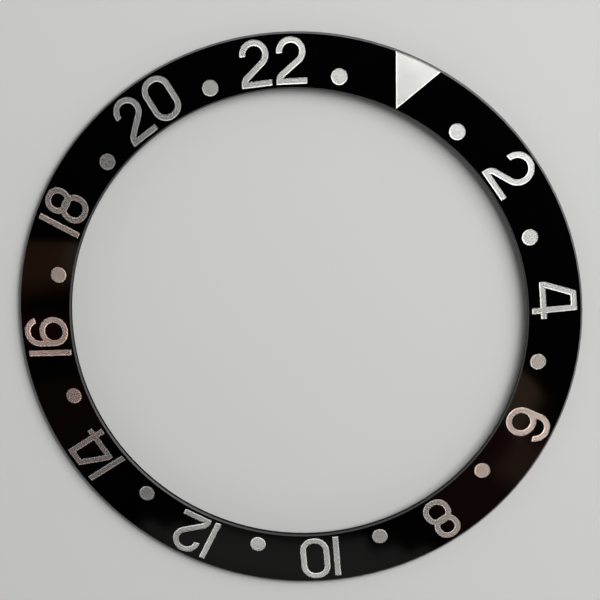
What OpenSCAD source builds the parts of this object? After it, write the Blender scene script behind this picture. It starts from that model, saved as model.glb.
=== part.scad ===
// Bezel insert for a watch that shows a second time zone: a thin black ring with a
// 24 hour scale, laid out clockwise, with the zero triangle at +Y.
// Every mark is a silver fill in its own pocket. Sizes are millimetres.
// The ring's axis is +Z, the marked face looks up, and the rim's lower corner is at z = 0.

/* [Ring] */
// Outside diameter, which fits the bezel
outer_d = 38.0; // [37.4:0.1:42]
// Width of the band between the rim and the hole that goes round the crystal
band_w = 3.65; // [3.3:0.05:5]
// Thickness of the sheet, measured straight up
sheet_t = 0.45; // [0.35:0.05:1.2]
// Slope of the sheet in degrees, falling from the hole to the rim
slope = 7; // [0:0.5:12]
// Width of the bevel on the rim side of the face
rim_bevel = 0.11; // [0.04:0.01:0.2]
// Width of the bevel on the hole side of the face
bore_bevel = 0.1; // [0.04:0.01:0.2]

/* [Fill] */
// Depth of each pocket below the face
pocket_depth = 0.18; // [0.08:0.01:0.25]
// How far the top of a fill lies below the face
fill_recess = 0.015; // [0:0.005:0.04]
// Film of lacquer between a fill and its pocket, at the walls and the floor
fill_film = 0.01; // [0.005:0.005:0.02]

/* [Numerals] */
// Distance from the hole's wall to the foot of a numeral
foot_margin = 0.29; // [0.2:0.01:0.5]
// Distance from the head of a flat-topped numeral to the rim's wall
head_margin = 0.38; // [0.38:0.01:0.7]
// Width of a numeral's stroke
stroke = 0.39; // [0.3:0.01:0.5]
// How far a round head rises above a flat one
overshoot = 0.08; // [0:0.01:0.1]
// Width of the numerals 0 and 2, and of the place that a 6 or an 8 takes
round_w = 2.0; // [1.8:0.02:2.2]
// Gap at the feet between the places of the two digits of a numeral from 10 to 18
digit_gap = 0.16; // [0.12:0.01:0.3]
// The same gap in 20 and 22, where both digits are wide
wide_gap = 0.27; // [0.12:0.01:0.35]
// Share of the circle's turn that the two digits follow, so that at 0 both stand upright
digit_turn = 0.5; // [0:0.05:1]
// Lean of the numeral 1 to the right, in degrees
one_lean = 3; // [0:0.5:8]
// Length of the flat stretches in the curves of a 0 and an 8
flat_w = 0.1; // [0.04:0.02:0.6]

/* [Numeral 2] */
// Width of the 2 that stands alone
lone_two_w = 2.3; // [1.9:0.02:2.4]
// How far the head of the 2 that stands alone rises above a flat one
lone_two_rise = 0.15; // [0:0.01:0.2]
// How far the widest part of the head lies inside the ends of the foot
two_head_inset = 0.05; // [0:0.01:0.1]
// How far the head is set to the right
two_head_shift = 0.02; // [0:0.01:0.05]
// Direction in which the stroke ends at the left of the head, in degrees
two_hook = 186; // [170:1:200]
// Radius of the bend where the diagonal turns down to the foot
two_tail_r = 0.5; // [0.3:0.02:0.6]
// Height of that bend's lower end above the foot
two_tail_h = 0.25; // [0.1:0.01:0.4]

/* [Numeral 4] */
// Width of the 4
four_w = 2.5; // [2.2:0.02:2.6]
// Height of the middle of the crossbar above the foot
four_bar_h = 0.76; // [0.6:0.02:1]
// Distance from the stem to the right end of the crossbar
four_bar_run = 0.38; // [0.2:0.02:0.6]
// Width of the head, from the slanted side to the stem's right side
four_head_w = 1.31; // [1:0.02:1.5]
// How much narrower the place of a 4 is than the 4
four_tuck = 0.34; // [0:0.02:0.4]
// How far a 4 is set to the right of its place
four_shift = 0.08; // [0:0.01:0.15]

/* [Numerals 6 and 8] */
// Outside diameter of the ring of a 6, and of the bend over it
six_ring_d = 2.02; // [1.8:0.02:2.2]
// Direction in which the stroke ends at the right of the head of a 6, in degrees
six_hook = 14; // [0:1:40]
// Width of the upper ring of an 8
eight_head_w = 1.74; // [1.5:0.02:1.8]
// Width of the lower ring of an 8
eight_foot_w = 1.88; // [1.8:0.02:2.1]
// Height of the middle of the waist of an 8 above its foot
eight_waist_h = 1.62; // [1.4:0.02:1.8]
// Thickness of the waist of an 8
eight_waist_t = 0.52; // [0.5:0.02:0.7]

/* [Other marks] */
// Diameter of a dot
dot_d = 1.06; // [0.8:0.02:1.4]
// Distance from the hole's wall to a dot
dot_margin = 0.49; // [0.3:0.01:0.9]
// Width of the zero triangle at the rim side of the face
triangle_w = 3.2; // [2.4:0.02:4]
// Distance from the bevel at the hole to the tip of the triangle
tip_margin = 0.04; // [0.03:0.01:0.3]

/* [Hidden] */
hour_step = 360 / 24;
dot_hours = [1:2:23];
lone_numerals = [2, 4, 6, 8];
paired_numerals = [10:2:22];
$fn = 96;
black = [0.03, 0.03, 0.035];
silver = [0.8, 0.8, 0.78];
// Largest angle between two points of a bend
bend_step = 6;
// Sides of the circles that the ring itself is turned from
ring_sides = 360;

outer_r = outer_d / 2;
bore_r = outer_r - band_w;
face_out_r = outer_r - rim_bevel;
face_in_r = bore_r + bore_bevel;
foot_r = bore_r + foot_margin;
numeral_h = outer_r - head_margin - foot_r;
round_h = numeral_h + overshoot;
dot_r = bore_r + dot_margin + dot_d / 2;
tip_r = face_in_r + tip_margin;

// Heights of the underside and of the face at a radius
function under_z(r) = (outer_r - r) * tan(slope);
function face_z(r) = under_z(r) + sheet_t;

// A direction as a unit vector
function unit(angle) = [cos(angle), sin(angle)];

// Room round an outline: none for a fill, one film for its pocket
$room = 0;

// A distance along a circle as an angle
function arc_angle(distance, r) = distance / r * 180 / PI;

// A straight stroke with free ends
module bar(from, to) {
    run = to - from;
    translate(from)
        rotate(atan2(run.y, run.x))
            translate([-$room, -stroke / 2 - $room])
                square([norm(run) + 2 * $room, stroke + 2 * $room]);
}

// A whole round ring, one stroke wide
module ring(centre, outer_d) {
    translate(centre)
        difference() {
            circle(d = outer_d + 2 * $room);
            circle(d = outer_d - 2 * stroke - 2 * $room);
        }
}

// The route of a bend, as points with the stroke's heading at each
function bend(centre, r, from, to) = [
    for (k = [0:1:ceil(abs(to - from) / bend_step)])
        let (angle = from + (to - from) * k / ceil(abs(to - from) / bend_step))
        [centre + r * unit(angle), to > from ? angle + 90 : angle - 90]
];

// A stroke along such a route, with free ends
module stroke_along(route) {
    half_w = stroke / 2 + $room;
    last = len(route) - 1;
    points = [
        for (k = [0:last])
            route[k][0] + $room * unit(route[k][1]) * (k == 0 ? -1 : k == last ? 1 : 0)
    ];
    polygon(concat(
        [for (k = [0:last]) points[k] - half_w * unit(route[k][1] + 90)],
        [for (k = [last:-1:0]) points[k] + half_w * unit(route[k][1] + 90)]
    ));
}

// A rectangle with round corners that stands on the x axis
module rounded_box(w, h, corner_r) {
    translate([-w / 2, corner_r])
        square([w, h - 2 * corner_r]);
    translate([corner_r - w / 2, 0])
        square([w - 2 * corner_r, h]);
    for (x = [-1, 1] * (w / 2 - corner_r), y = [corner_r, h - corner_r])
        translate([x, y])
            circle(corner_r);
}

// A closed stroke round such a rectangle, with its foot at a height
module closed_stroke(foot_h, w, h) {
    corner_r = (min(w, h) - flat_w) / 2;
    wall = stroke + $room;
    translate([0, foot_h])
        difference() {
            translate([0, -$room])
                rounded_box(w + 2 * $room, h + 2 * $room, corner_r + $room);
            translate([0, wall])
                rounded_box(w - 2 * wall, h - 2 * wall, corner_r - wall);
        }
}

// The digits stand on y = 0 with the middle of their place at x = 0
module nought() {
    closed_stroke(0, round_w, round_h);
}

module one() {
    half_w = stroke / 2 / cos(one_lean) + $room;
    shift = numeral_h / 2 * tan(one_lean);
    polygon([
        [-half_w - shift, -$room],
        [half_w - shift, -$room],
        [half_w + shift, numeral_h + $room],
        [-half_w + shift, numeral_h + $room]
    ]);
}

// The diagonal touches the round head and a small bend that turns the other way
module two(w, h) {
    head_d = w - 2 * two_head_inset;
    head_r = (head_d - stroke) / 2;
    head = [two_head_shift, h - head_d / 2];
    tail_r = min(two_tail_r, head.y - two_tail_h - head_r);
    foot_x = (stroke - w) / 2;
    tail = [foot_x + tail_r, two_tail_h];
    span = tail - head;
    turn = atan2(span.y, span.x) + acos((head_r + tail_r) / norm(span));
    stroke_along(concat(
        bend(head, head_r, two_hook, turn),
        bend(tail, tail_r, 180 + turn, 180),
        [[[foot_x, 0], -90]]
    ));
    bar([foot_x, stroke / 2], [w / 2, stroke / 2]);
}

// The slanted side rises from the upper corner of the crossbar
module four() {
    left_x = -four_w / 2;
    stem_x = four_w / 2 - four_bar_run - stroke / 2;
    head_x = stem_x + stroke / 2 - four_head_w;
    bar_top = four_bar_h + stroke / 2;
    slant = atan2(numeral_h - bar_top, head_x - left_x);
    side = $room / sin(slant);
    inner_side = side + stroke / sin(slant);
    inner_x = stem_x - stroke / 2 - $room;
    inner_top = numeral_h - stroke - $room;
    function on_slant(y, shift) = [left_x + shift + (y - bar_top) / tan(slant), y];
    translate([four_shift, 0]) {
        bar([stem_x, 0], [stem_x, numeral_h]);
        bar([stem_x, four_bar_h], [four_w / 2, four_bar_h]);
        difference() {
            polygon([
                [left_x - $room, four_bar_h - stroke / 2 - $room],
                [stem_x, four_bar_h - stroke / 2 - $room],
                [stem_x, numeral_h + $room],
                on_slant(numeral_h + $room, -side),
                on_slant(bar_top + $room * tan(45 - slant / 2), -side)
            ]);
            polygon([
                on_slant(bar_top + $room, inner_side),
                [inner_x, bar_top + $room],
                [inner_x, inner_top],
                on_slant(inner_top, inner_side)
            ]);
        }
    }
}

module six() {
    r = (six_ring_d - stroke) / 2;
    foot = [0, six_ring_d / 2];
    head = [0, round_h - six_ring_d / 2];
    ring(foot, six_ring_d);
    stroke_along(concat([[foot - [r, 0], 90]], bend(head, r, 180, six_hook)));
}

module eight() {
    foot_h = eight_waist_h + eight_waist_t / 2;
    head_h = round_h - eight_waist_h + eight_waist_t / 2;
    closed_stroke(0, eight_foot_w, foot_h);
    closed_stroke(round_h - head_h, eight_head_w, head_h);
}

module digit(value) {
    if (value == 0) nought();
    if (value == 1) one();
    if (value == 2) two(round_w, round_h);
    if (value == 4) four();
    if (value == 6) six();
    if (value == 8) eight();
}

// Width of the place of a digit
function place_w(value) =
    value == 1 ? stroke + numeral_h * tan(one_lean) :
    value == 4 ? four_w - four_tuck :
    round_w;

function tens(hour) = floor(hour / 10);
function units(hour) = hour % 10;

function pair_gap(hour) = tens(hour) == 1 ? digit_gap : wide_gap;

// Puts an outline at an hour, its foot on the circle of the feet; run is a distance
// along that circle, clockwise from the hour's line
module at_hour(hour, run = 0) {
    turn = arc_angle(run, foot_r);
    rotate(-hour * hour_step - turn)
        translate([0, foot_r])
            rotate(turn * (1 - digit_turn))
                children();
}

// Outlines of the marks, in their places on the ring
module lone_outline(hour) {
    at_hour(hour) {
        if (hour == 2) two(lone_two_w, numeral_h + lone_two_rise);
        else digit(hour);
    }
}

module tens_outline(hour) {
    at_hour(hour, -(pair_gap(hour) + place_w(units(hour))) / 2)
        digit(tens(hour));
}

module units_outline(hour) {
    at_hour(hour, (pair_gap(hour) + place_w(tens(hour))) / 2)
        digit(units(hour));
}

module dot_outline(hour) {
    rotate(-hour * hour_step)
        translate([0, dot_r])
            circle(d = dot_d + 2 * $room);
}

module triangle_outline() {
    half_w = triangle_w / 2;
    half_angle = atan2(half_w, sqrt(face_out_r ^ 2 - half_w ^ 2) - tip_r);
    tip = [0, tip_r - $room / sin(half_angle)];
    reach = 2 * (outer_r - tip_r);
    intersection() {
        polygon([
            tip,
            tip + reach * unit(90 - half_angle),
            tip + reach * unit(90 + half_angle)
        ]);
        circle(face_out_r + $room, $fn = ring_sides);
    }
}

// The ring before its pockets are cut
module ring_blank() {
    rotate_extrude($fn = ring_sides)
        polygon([
            [outer_r, 0],
            [outer_r, face_z(face_out_r) - rim_bevel],
            [face_out_r, face_z(face_out_r)],
            [face_in_r, face_z(face_in_r)],
            [bore_r, face_z(face_in_r) - bore_bevel],
            [bore_r, under_z(bore_r)]
        ]);
}

// The part of an outline that lies between two heights, measured up from the face
module in_layer(low, high) {
    inner = bore_r - bore_bevel;
    outer = outer_r + rim_bevel;
    intersection() {
        linear_extrude(face_z(0) + 2 * sheet_t)
            children();
        rotate_extrude($fn = ring_sides)
            polygon([
                [inner, face_z(inner) + low],
                [outer, face_z(outer) + low],
                [outer, face_z(outer) + high],
                [inner, face_z(inner) + high]
            ]);
    }
}

module fill() {
    color(silver)
        in_layer(fill_film - pocket_depth, -fill_recess)
            children();
}

// The cut that a fill lies in, which runs on above the face
module pocket() {
    $room = fill_film;
    in_layer(-pocket_depth, sheet_t)
        children();
}

module bezel_ring() {
    color(black)
        difference() {
            ring_blank();
            pocket() triangle_outline();
            for (hour = lone_numerals)
                pocket() lone_outline(hour);
            for (hour = paired_numerals) {
                pocket() tens_outline(hour);
                pocket() units_outline(hour);
            }
            for (hour = dot_hours)
                pocket() dot_outline(hour);
        }
}

module zero_triangle() {
    fill() triangle_outline();
}

bezel_ring();
zero_triangle();
for (hour = lone_numerals)
    fill() lone_outline(hour);
for (hour = paired_numerals) {
    fill() tens_outline(hour);
    fill() units_outline(hour);
}
for (hour = dot_hours)
    fill() dot_outline(hour);
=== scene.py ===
"""Dresses a watch bezel insert: a black ring with silver fills, on a pale studio floor."""

import math
from typing import NamedTuple

import bmesh
import bpy
from bpy.props import FloatProperty, FloatVectorProperty, PointerProperty
from mathutils import Euler, Matrix, Vector


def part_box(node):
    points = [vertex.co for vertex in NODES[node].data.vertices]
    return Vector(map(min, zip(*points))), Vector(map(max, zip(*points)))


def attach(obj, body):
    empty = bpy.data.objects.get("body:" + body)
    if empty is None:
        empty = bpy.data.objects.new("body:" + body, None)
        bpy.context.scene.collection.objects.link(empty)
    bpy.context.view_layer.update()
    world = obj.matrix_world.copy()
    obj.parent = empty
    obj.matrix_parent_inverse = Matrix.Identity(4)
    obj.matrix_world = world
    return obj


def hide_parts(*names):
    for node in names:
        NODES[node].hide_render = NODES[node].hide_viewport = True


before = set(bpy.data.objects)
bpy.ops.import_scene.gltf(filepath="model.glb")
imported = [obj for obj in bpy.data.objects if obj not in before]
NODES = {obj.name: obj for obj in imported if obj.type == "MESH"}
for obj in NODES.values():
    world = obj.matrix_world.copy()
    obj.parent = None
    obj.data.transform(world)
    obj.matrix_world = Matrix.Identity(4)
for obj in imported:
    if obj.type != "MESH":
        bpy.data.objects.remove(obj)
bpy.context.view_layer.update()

bl_info = {
    "name": "Bezel Insert",
    "version": (1, 0, 0),
    "blender": (4, 5, 0),
    "location": "View3D > Sidebar > Bezel Insert",
    "description": "Finishes for a 24 hour bezel insert, and a small studio to show it in",
    "category": "Object",
}

MM = 0.001
RING = "bezel_ring"
TRIANGLE = "zero_triangle"
DOTS = sorted(name for name in NODES if name.startswith("dot_"))
NUMERALS = sorted(name for name in NODES if name.startswith("numeral_"))

# The rim's radius, the width of its bevel, and the slope of the cone that the face lies on
RIM_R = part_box(RING)[1].x
RIM_BEVEL = 0.11 * MM
SLOPE = math.radians(7)

# The silver stands a little higher along the outline of each fill
EDGE_WIDTH = 0.07 * MM
EDGE_RISE = 0.003 * MM

# In a fill's CAD mesh, points nearer than this are one, and the faces of its top are those
# whose unit normal has a greater z than this
WELD = 0.0002 * MM
TOP_UP = 0.9


class BezelFinish(bpy.types.PropertyGroup):
    """Colours and grain of the insert"""

    black: FloatVectorProperty(
        name="Black",
        description="Colour of the anodised face",
        subtype="COLOR",
        min=0,
        max=1,
        default=(0.0005, 0.0005, 0.00055),
    )
    black_roughness: FloatProperty(
        name="Face Roughness",
        description="How much the polished face blurs what it mirrors",
        subtype="FACTOR",
        min=0,
        max=1,
        default=0.05,
    )
    cut_metal: FloatVectorProperty(
        name="Cut Metal",
        description="Colour of the two bevels, where the black is thin",
        subtype="COLOR",
        min=0,
        max=1,
        default=(0.28, 0.28, 0.29),
    )
    silver: FloatVectorProperty(
        name="Silver",
        description="Colour of the fills",
        subtype="COLOR",
        min=0,
        max=1,
        default=(0.8, 0.8, 0.79),
    )
    # Paler than the fill's silver: a painted highlight, standing in for the light that the
    # raised border of each fill catches
    silver_edge_painted_highlight: FloatVectorProperty(
        name="Silver Edge",
        description="Colour of the line along a fill's outline, where the silver is thicker",
        subtype="COLOR",
        min=0,
        max=1,
        default=(0.98, 0.98, 0.97),
    )
    silver_roughness: FloatProperty(
        name="Silver Roughness",
        description="How matt the fills are",
        subtype="FACTOR",
        min=0,
        max=1,
        default=0.26,
    )
    grain: FloatProperty(
        name="Grain",
        description="Size of the grain in the fills",
        subtype="DISTANCE",
        unit="LENGTH",
        min=0.01 * MM,
        max=0.5 * MM,
        default=0.14 * MM,
    )


class BezelStudio(bpy.types.PropertyGroup):
    """Floor, lamp and camera"""

    floor: FloatVectorProperty(
        name="Floor",
        description="Colour of the floor",
        subtype="COLOR",
        min=0,
        max=1,
        default=(0.78, 0.78, 0.77),
    )
    key: FloatProperty(
        name="Key Lamp",
        description="Power of the large soft lamp",
        subtype="POWER",
        unit="POWER",
        min=0,
        default=1.3,
    )
    camera_place: FloatVectorProperty(
        name="Camera Place",
        description="Where the camera stands, from the middle of the ring's underside",
        subtype="TRANSLATION",
        unit="LENGTH",
        default=(-3.597 * MM, 25.499 * MM, 106.996 * MM),
    )
    camera_turn: FloatVectorProperty(
        name="Camera Turn",
        description="How the camera is turned",
        subtype="EULER",
        unit="ROTATION",
        default=(math.radians(-12.409), math.radians(3.863), math.radians(24.621)),
    )
    lens: FloatProperty(
        name="Lens",
        description="Focal length in millimetres on a sensor 36 mm wide",
        min=10,
        default=97.665,
    )


class Value:
    """A number that varies over a surface, written in plain sums."""

    def __init__(self, recipe, socket):
        self.recipe = recipe
        self.socket = socket

    def __add__(self, other):
        return self.recipe.maths("ADD", self, other)

    __radd__ = __add__

    def __sub__(self, other):
        return self.recipe.maths("SUBTRACT", self, other)

    def __rsub__(self, other):
        return self.recipe.maths("SUBTRACT", other, self)

    def __mul__(self, other):
        return self.recipe.maths("MULTIPLY", self, other)

    __rmul__ = __mul__

    def __truediv__(self, other):
        return self.recipe.maths("DIVIDE", self, other)

    def __rtruediv__(self, other):
        return self.recipe.maths("DIVIDE", other, self)

    def root(self):
        return self.recipe.maths("SQRT", self)

    def between(self, low, high):
        """Rises smoothly from 0 at low to 1 at high."""
        settings = {"interpolation_type": "SMOOTHSTEP", "clamp": True}
        sockets = {"Value": self, "From Min": low, "From Max": high}
        return self.recipe.value("ShaderNodeMapRange", settings, sockets)


# The numbers of a Mix node's two inputs and its output, for each kind of data
MIX_SOCKETS = {"VECTOR": (4, 5, 1), "RGBA": (6, 7, 2)}


class Recipe:
    """The nodes of one material or of the world."""

    def __init__(self, tree):
        self.tree = tree
        tree.nodes.clear()

    def node(self, kind, settings=None, values=None):
        """A node with its settings made first, then the values or links of its sockets."""
        made = self.tree.nodes.new(kind)
        for name, setting in (settings or {}).items():
            setattr(made, name, setting)
        for name, value in (values or {}).items():
            socket = made.inputs[name]
            source = value.socket if isinstance(value, Value) else value
            if isinstance(source, bpy.types.NodeSocket):
                self.tree.links.new(source, socket)
            else:
                socket.default_value = source
        return made

    def value(self, kind, settings=None, values=None):
        return Value(self, self.node(kind, settings, values).outputs[0])

    def maths(self, operation, *numbers):
        return self.value("ShaderNodeMath", {"operation": operation}, dict(enumerate(numbers)))

    def place(self):
        """Where a point of the surface lies, in metres from the ring's origin."""
        return self.node("ShaderNodeTexCoord").outputs["Object"]

    def axes(self, vector):
        parts = self.node("ShaderNodeSeparateXYZ", None, {0: vector})
        return [Value(self, part) for part in parts.outputs]

    def noise(self, place, size, detail=3, roughness=0.5):
        """Smooth noise from 0 to 1, with features of a size in metres."""
        sockets = {"Vector": place, "Scale": 1 / size, "Detail": detail, "Roughness": roughness}
        return self.value("ShaderNodeTexNoise", None, sockets)

    def mix(self, kind, share, first, second):
        """Goes from the first to the second, a colour or a vector, as the share goes to 1."""
        first_input, second_input, output = MIX_SOCKETS[kind]
        settings = {"data_type": kind, "clamp_factor": True}
        sockets = {0: share, first_input: first, second_input: second}
        return self.node("ShaderNodeMix", settings, sockets).outputs[output]

    def mix_colour(self, share, first, second):
        return self.mix("RGBA", share, first, second)

    def bump(self, height, distance, strength, normal=None):
        sockets = {"Height": height, "Distance": distance, "Strength": strength}
        if normal is not None:
            sockets["Normal"] = normal
        return self.node("ShaderNodeBump", None, sockets).outputs[0]

    def shader(self, sockets):
        return self.node("ShaderNodeBsdfPrincipled", None, sockets).outputs[0]

    def surface(self, shader):
        self.node("ShaderNodeOutputMaterial", None, {"Surface": shader})


def new_material(name):
    material = bpy.data.materials.new(name)
    material.use_nodes = True
    return material, Recipe(material.node_tree)


def opaque(colour, gain=1):
    """A colour with its alpha, made brighter or darker by a gain."""
    return (*(part * gain for part in colour), 1.0)


# The z of the unit normal tells the zones of the ring apart: the face fades in over the first
# pair of values, the bevels over the second, and all that isn't matt over the third
FACE_UP = (0.9, 0.95)
BEVEL_UP = (0.4, 0.5)
OPEN_UP = (0.1, 0.4)

# Sizes of the soft spots, fine grain, dust, turning marks and wear on the black
SPOT_SIZE = 2.2 * MM
FINE_SIZE = 0.12 * MM
DUST_SIZE = 0.35 * MM
TURNED_SIZE = 0.05 * MM
WORN_SIZE = 0.6 * MM

# The noise over which dust, or wear, fades in
DUST_NOISE = (0.62, 0.8)
WORN_NOISE = (0.25, 0.75)

# How much brighter than the black its spots and its dust are
SPOT_GAIN = 1.8
DUST_GAIN = 4

# The walls and the underside hardly mirror anything
MATT_ROUGHNESS = 0.6
MATT_IOR = 1.12


def black_gloss(finish):
    """Polished black on the face, thin on the bevels, matt on the walls and the underside."""
    material, recipe = new_material("black_gloss")
    place = recipe.place()
    x, y, _ = recipe.axes(place)
    r = (x * x + y * y).root()
    geometry = recipe.node("ShaderNodeNewGeometry").outputs
    up = recipe.axes(geometry["True Normal"])[2]

    face = up.between(*FACE_UP)
    bevel = up.between(*BEVEL_UP) * (1 - face)
    rim_bevel = bevel * r.between(RIM_R - 2 * RIM_BEVEL, RIM_R - RIM_BEVEL)
    bore_bevel = bevel - rim_bevel
    matt_zone = 1 - up.between(*OPEN_UP)

    spots = recipe.noise(place, SPOT_SIZE)
    fine = recipe.noise(place, FINE_SIZE, roughness=0.6)
    dust = recipe.noise(place, DUST_SIZE, detail=4, roughness=0.7).between(*DUST_NOISE)
    worn = recipe.noise(place, WORN_SIZE).between(*WORN_NOISE)
    turned = recipe.value(
        "ShaderNodeTexNoise",
        {"noise_dimensions": "1D"},
        {"W": r, "Scale": 1 / TURNED_SIZE, "Detail": 3},
    )

    # How much bare metal shows through the black, more at the rim than at the hole
    rim_metal = 0.35 + 0.2 * worn
    bore_metal = 0.15
    metal = rim_bevel * rim_metal + bore_bevel * bore_metal
    dust_cover = dust * 0.25
    base = recipe.mix_colour(spots, opaque(finish.black), opaque(finish.black, SPOT_GAIN))
    base = recipe.mix_colour(dust_cover, base, opaque(finish.black, DUST_GAIN))
    base = recipe.mix_colour(metal, base, opaque(finish.cut_metal))

    polish = finish.black_roughness + 0.04 * (spots - 0.5) + 0.05 * dust
    satin = 0.3 + 0.15 * turned
    roughness = face * polish + (1 - face) * satin

    # The face mirrors as a true cone does, though its mesh is made of flat strips
    across = math.sin(SLOPE)
    cone = recipe.node(
        "ShaderNodeCombineXYZ",
        None,
        {"X": x / r * across, "Y": y / r * across, "Z": math.cos(SLOPE)},
    ).outputs[0]
    smooth = recipe.mix("VECTOR", face, geometry["Normal"], cone)
    fine_height = 0.35 - 0.25 * face
    height = fine * fine_height + turned * (1 - face)
    normal = recipe.bump(height, distance=0.002 * MM, strength=0.35, normal=smooth)

    polished = {
        "Base Color": base,
        "Metallic": metal * 0.8,
        "Roughness": roughness,
        "Normal": normal,
    }
    matt = {
        "Base Color": base,
        "Roughness": MATT_ROUGHNESS,
        "IOR": MATT_IOR,
        "Normal": normal,
    }
    both = {0: matt_zone, 1: recipe.shader(polished), 2: recipe.shader(matt)}
    recipe.surface(recipe.node("ShaderNodeMixShader", None, both).outputs[0])
    return material


# How bright the silver is where its tone is lowest, as a share of its full colour, and the
# size of its soft clouds
DIM_SILVER = 0.78
CLOUD_SIZE = 0.8 * MM

# Most of the noise lies between these two values
MOST_NOISE = (0.3, 0.7)

# How far the grain is drawn out along x, y and z to make streaks
STREAK_SHAPE = (0.4, 4, 1)


def silver_fill(name, finish, silver, grain_depth, speckle, streaks=0, sheen=0.88):
    """Frosted silver: speckle and streaks say how much the grain and the brushing show."""
    material, recipe = new_material(name)
    place = recipe.place()
    grain = recipe.noise(place, finish.grain, detail=2, roughness=0.6)
    fine = recipe.noise(place, finish.grain * 0.4, detail=2, roughness=0.6)
    cloud = recipe.noise(place, CLOUD_SIZE)
    stretched = recipe.node(
        "ShaderNodeMapping", {"vector_type": "TEXTURE"}, {"Vector": place, "Scale": STREAK_SHAPE}
    ).outputs[0]
    brushed = recipe.noise(stretched, finish.grain * 2, detail=2)

    tone = grain.between(*MOST_NOISE) * speckle + cloud.between(*MOST_NOISE) * 0.3
    tone = tone + brushed.between(*MOST_NOISE) * streaks
    height = grain * 0.7 + fine * 0.3 + brushed * streaks
    frosted = {
        "Base Color": recipe.mix_colour(tone, opaque(silver, DIM_SILVER), opaque(silver)),
        "Metallic": sheen,
        "Roughness": finish.silver_roughness + 0.02 * (fine - 0.5) - 0.02 * (cloud - 0.5),
        "Normal": recipe.bump(height, distance=grain_depth, strength=0.6),
    }
    recipe.surface(recipe.shader(frosted))
    return material


def silver_edge_painted_highlight(finish):
    """The paler line along the outline of a fill, made once for all of them; its paler colour is
    a painted highlight on the raised border.
    """
    made = bpy.data.materials.get("silver_edge_painted_highlight")
    return made or silver_fill(
        "silver_edge_painted_highlight",
        finish,
        finish.silver_edge_painted_highlight,
        grain_depth=0.0002 * MM,
        speckle=0.7,
        sheen=0.8,
    )


def raised_edge(node, inner, edge):
    """Lays a fill anew over its CAD solid, with the silver drawn up along its outline."""
    shape = bmesh.new()
    shape.from_mesh(NODES[node].data)
    bmesh.ops.remove_doubles(shape, verts=shape.verts, dist=WELD)
    top = [face for face in shape.faces if face.normal.z > TOP_UP]
    for face in shape.faces:
        face.smooth = False
        face.material_index = 0
    border = bmesh.ops.inset_region(
        shape,
        faces=top,
        thickness=EDGE_WIDTH,
        depth=-EDGE_RISE,
        use_boundary=True,
        use_even_offset=True,
    )["faces"]
    # The border takes the edge material, whose paler colour is painted highlight on top of the
    # real raised border
    for face in border:
        face.material_index = 1
    bmesh.ops.recalc_face_normals(shape, faces=shape.faces)
    mesh = bpy.data.meshes.new(node + "_fill")
    shape.to_mesh(mesh)
    shape.free()
    mesh.materials.append(inner)
    mesh.materials.append(edge)
    piece = bpy.data.objects.new(node + "_fill", mesh)
    bpy.context.scene.collection.objects.link(piece)
    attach(piece, "root")
    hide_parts(node)


# The floor's width, the lamp's distance from the ring and its width, and the lamp's direction:
# its angle from overhead, and its angle clockwise from +Y as seen from above
FLOOR_WIDTH = 3000 * MM
KEY_DISTANCE = 360 * MM
KEY_WIDTH = 280 * MM
KEY_ZENITH = math.radians(45)
KEY_AZIMUTH = math.radians(27)

# The world's brightness near the horizon and overhead, and the heights between which it
# fades, where 0 is the horizon and 1 is overhead
WORLD_LOW = 0.8
WORLD_HIGH = 0.01
WORLD_FADE = (0.15, 0.65)

# In millimetres, as Blender takes it
SENSOR_WIDTH = 36


def flat_sheet(name, width, place):
    """A flat square that belongs to the stage, with its place in its mesh."""
    mesh = bpy.data.meshes.new(name)
    shape = bmesh.new()
    middle = Matrix.Translation(place)
    bmesh.ops.create_grid(shape, x_segments=1, y_segments=1, size=width / 2, matrix=middle)
    shape.to_mesh(mesh)
    shape.free()
    sheet = bpy.data.objects.new(name, mesh)
    bpy.context.scene.collection.objects.link(sheet)
    return sheet


def hang_key_lamp(power):
    """Hangs a square area lamp that faces the ring."""
    outward = KEY_DISTANCE * math.sin(KEY_ZENITH)
    place = Vector(
        (
            outward * math.sin(KEY_AZIMUTH),
            outward * math.cos(KEY_AZIMUTH),
            KEY_DISTANCE * math.cos(KEY_ZENITH),
        )
    )
    data = bpy.data.lights.new("key_lamp", "AREA")
    data.shape = "SQUARE"
    data.size = KEY_WIDTH
    data.energy = power
    lamp = bpy.data.objects.new("key_lamp", data)
    lamp.location = place
    lamp.rotation_euler = (-place).to_track_quat("-Z", "Y").to_euler()
    bpy.context.scene.collection.objects.link(lamp)


class Glow(NamedTuple):
    """A soft patch of light on the dark sheet, by hours and by millimetres from its middle."""

    # It is light, so its parts may be greater than 1
    colour: tuple
    # Hours run from 0 to 24, so a patch that goes past either end has no edge there
    hours: tuple
    fades: tuple = (0.3, 0.3)
    radii: tuple = (130, 160)
    blur: float = 3
    # How many hours it leans back for each millimetre outward
    lean: float = 0


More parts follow.
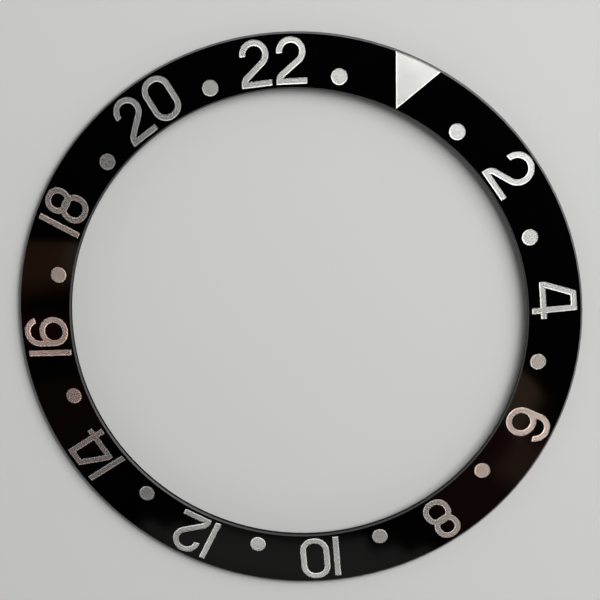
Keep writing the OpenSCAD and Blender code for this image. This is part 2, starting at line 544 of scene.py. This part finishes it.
# A dark sheet over the ring, in millimetres. As the camera sees it, the black polish mirrors
# only a band of the sheet, from 139 to 158 in radius, where each hour of the ring finds about
# its own hour. The silver isn't so smooth and also catches what lies outside that band.
GLOW_HEIGHT = 300
GLOW_MIDDLE = (11.7, -83)
GLOW_WIDTH = 520
MIRROR_RADIUS = 145.5
OUTSIDE = (175, 260)
GLOW = (
    # Outside the band, where they light the silver alone
    Glow((3.5, 3.5, 3.35), hours=(21.5, 30), radii=OUTSIDE),
    Glow((3.3, 3.35, 3.25), hours=(-5, 4.5), radii=OUTSIDE),
    Glow((0.2, 0.3, 0.15), hours=(4.5, 5.4), radii=OUTSIDE),
    Glow((4.8, 3.4, 2.8), hours=(5.5, 7.1), radii=OUTSIDE),
    Glow((0.9, 0.75, 0.6), hours=(7.2, 8.2), radii=OUTSIDE),
    Glow((0.9, 0.9, 0.8), hours=(8.2, 9.7), radii=OUTSIDE),
    Glow((2.6, 2.6, 2.5), hours=(9.6, 12.3), radii=OUTSIDE),
    Glow((1.2, 0.5, 0.4), hours=(14.5, 15.8), radii=OUTSIDE),
    Glow((3.7, 2.7, 2.3), hours=(15.9, 17.3), radii=OUTSIDE),
    Glow((1.35, 1.4, 1.4), hours=(19.8, 21.5), radii=OUTSIDE),
    # In the band, where the black face shows them as brown and grey
    Glow((0.26, 0.11, 0.06), hours=(16.6, 17.66), fades=(0.6, 0.03), lean=0.018),
    Glow(
        (0.4, 0.28, 0.19),
        hours=(16.8, 17.66),
        fades=(0.6, 0.03),
        radii=(130, 144),
        blur=5,
        lean=0.018,
    ),
    Glow((0.09, 0.02, 0.012), hours=(15.8, 16.6)),
    Glow((0.055, 0.022, 0.008), hours=(13.9, 15.5), fades=(0.5, 0.2)),
    Glow((0.1, 0.033, 0.028), hours=(5.8, 8.1)),
    Glow((0.28, 0.16, 0.12), hours=(5.9, 7.0), fades=(0.4, 0.4), radii=(142, 160), blur=5),
    Glow(
        (0.45, 0.3, 0.2),
        hours=(5.2, 6.3),
        fades=(0.2, 0.2),
        radii=(130, 148),
        blur=5,
        lean=-0.04,
    ),
    Glow((0.24, 0.24, 0.23), hours=(9.1, 12.15), fades=(0.2, 0.2), radii=(143, 160), blur=2),
    Glow((0.24, 0.24, 0.23), hours=(8.6, 12.5), radii=(148, 160)),
    Glow((0.24, 0.24, 0.23), hours=(8.2, 12.9), radii=(152, 160)),
)


def hang_glow():
    """Hangs the dark sheet over the ring, with its soft patches of light."""
    middle = Vector((*GLOW_MIDDLE, GLOW_HEIGHT)) * MM
    sheet = flat_sheet("glow_sheet", GLOW_WIDTH * MM, middle)
    material, recipe = new_material("glow_sheet")
    x, y, _ = recipe.axes(recipe.place())
    x = x / MM - GLOW_MIDDLE[0]
    y = y / MM - GLOW_MIDDLE[1]
    radius = (x * x + y * y).root()
    day = 24
    turn = recipe.maths("ARCTAN2", x, y) * (day / 2 / math.pi)
    hour = recipe.maths("WRAP", turn, day, 0)

    colour = opaque((0, 0, 0))
    for glow in GLOW:
        along = hour + (radius - MIRROR_RADIUS) * glow.lean
        first, last = glow.hours
        fade_in, fade_out = glow.fades
        least, greatest = glow.radii
        patch = along.between(first, first + fade_in)
        patch = patch * (1 - along.between(last - fade_out, last))
        patch = patch * radius.between(least, least + glow.blur)
        patch = patch * (1 - radius.between(greatest - glow.blur, greatest))
        colour = recipe.mix_colour(patch, colour, opaque(glow.colour))
    light = recipe.node("ShaderNodeEmission", None, {"Color": colour, "Strength": 1})
    recipe.surface(light.outputs[0])

    sheet.data.materials.append(material)
    sheet.visible_camera = False
    sheet.visible_diffuse = False
    sheet.visible_shadow = False


class DressRing(bpy.types.Operator):
    """Give the ring its polished black face, its thin bevels and its matt walls"""

    bl_idname = "bezel_insert.dress_ring"
    bl_label = "Black Ring"

    def execute(self, context):
        mesh = NODES[RING].data
        mesh.materials.clear()
        mesh.materials.append(black_gloss(context.scene.bezel_finish))
        return {"FINISHED"}


class DressNumerals(bpy.types.Operator):
    """Give the numerals their silver"""

    bl_idname = "bezel_insert.dress_numerals"
    bl_label = "Silver Numerals"

    def execute(self, context):
        finish = context.scene.bezel_finish
        inner = silver_fill(
            "silver_numeral", finish, finish.silver, grain_depth=0.0002 * MM, speckle=0.25
        )
        edge = silver_edge_painted_highlight(finish)
        for name in NUMERALS:
            raised_edge(name, inner, edge)
        return {"FINISHED"}


class DressDots(bpy.types.Operator):
    """Give the dots their coarser frosted silver"""

    bl_idname = "bezel_insert.dress_dots"
    bl_label = "Silver Dots"

    def execute(self, context):
        finish = context.scene.bezel_finish
        inner = silver_fill(
            "silver_dot", finish, finish.silver, grain_depth=0.0006 * MM, speckle=0.4
        )
        edge = silver_edge_painted_highlight(finish)
        for name in DOTS:
            raised_edge(name, inner, edge)
        return {"FINISHED"}


class DressTriangle(bpy.types.Operator):
    """Give the zero triangle its faintly brushed silver"""

    bl_idname = "bezel_insert.dress_triangle"
    bl_label = "Silver Triangle"

    def execute(self, context):
        finish = context.scene.bezel_finish
        inner = silver_fill(
            "silver_triangle",
            finish,
            finish.silver,
            grain_depth=0.0007 * MM,
            speckle=0.3,
            streaks=0.15,
        )
        raised_edge(TRIANGLE, inner, silver_edge_painted_highlight(finish))
        return {"FINISHED"}


class BuildStage(bpy.types.Operator):
    """Lay the pale floor, light it and set up the camera"""

    bl_idname = "bezel_insert.build_stage"
    bl_label = "Studio"

    def execute(self, context):
        studio = context.scene.bezel_studio
        self.lay_floor(studio)
        self.light_world(context.scene)
        hang_key_lamp(studio.key)
        hang_glow()
        self.set_camera(context.scene, studio)
        context.scene.view_settings.view_transform = "Standard"
        return {"FINISHED"}

    def lay_floor(self, studio):
        floor = flat_sheet("floor", FLOOR_WIDTH, Vector())
        material, recipe = new_material("pale_floor")
        cloud = recipe.noise(recipe.place(), size=30 * MM)
        pale = recipe.mix_colour(cloud, opaque(studio.floor), opaque(studio.floor, gain=0.97))
        recipe.surface(recipe.shader({"Base Color": pale, "Roughness": 0.8}))
        floor.data.materials.append(material)

    def light_world(self, scene):
        """Even light from low down, and little from overhead, where the face mirrors it."""
        world = bpy.data.worlds.new("studio_world")
        world.use_nodes = True
        scene.world = world
        recipe = Recipe(world.node_tree)
        direction = recipe.node("ShaderNodeTexCoord").outputs["Generated"]
        height = recipe.axes(direction)[2]
        low = 1 - height.between(*WORLD_FADE)
        colour = recipe.mix_colour(low, opaque([WORLD_HIGH] * 3), opaque([WORLD_LOW] * 3))
        sky = recipe.node("ShaderNodeBackground", None, {"Color": colour, "Strength": 1})
        recipe.node("ShaderNodeOutputWorld", None, {"Surface": sky.outputs[0]})

    def set_camera(self, scene, studio):
        data = bpy.data.cameras.new("camera")
        data.sensor_width = SENSOR_WIDTH
        data.lens = studio.lens
        data.clip_start = 1 * MM
        camera = bpy.data.objects.new("camera", data)
        camera.location = studio.camera_place
        camera.rotation_euler = Euler(studio.camera_turn, "XYZ")
        scene.collection.objects.link(camera)
        scene.camera = camera


class BezelPanel(bpy.types.Panel):
    """Finishes and studio of the bezel insert"""

    bl_idname = "VIEW3D_PT_bezel_insert"
    bl_label = "Bezel Insert"
    bl_space_type = "VIEW_3D"
    bl_region_type = "UI"
    bl_category = "Bezel Insert"

    def draw(self, context):
        layout = self.layout
        for group in (context.scene.bezel_finish, context.scene.bezel_studio):
            column = layout.column()
            for name in group.bl_rna.properties.keys():
                if name not in ("rna_type", "name"):
                    column.prop(group, name)
        for piece in PIECES:
            layout.operator(piece.bl_idname)


PIECES = (DressRing, DressNumerals, DressDots, DressTriangle, BuildStage)
CLASSES = (BezelFinish, BezelStudio, *PIECES, BezelPanel)


def register():
    for kind in CLASSES:
        bpy.utils.register_class(kind)
    bpy.types.Scene.bezel_finish = PointerProperty(type=BezelFinish)
    bpy.types.Scene.bezel_studio = PointerProperty(type=BezelStudio)


def unregister():
    del bpy.types.Scene.bezel_studio
    del bpy.types.Scene.bezel_finish
    for kind in reversed(CLASSES):
        bpy.utils.unregister_class(kind)


def main():
    register()
    bpy.ops.bezel_insert.dress_ring()
    bpy.ops.bezel_insert.dress_numerals()
    bpy.ops.bezel_insert.dress_dots()
    bpy.ops.bezel_insert.dress_triangle()
    bpy.ops.bezel_insert.build_stage()


if __name__ == "__main__":
    main()
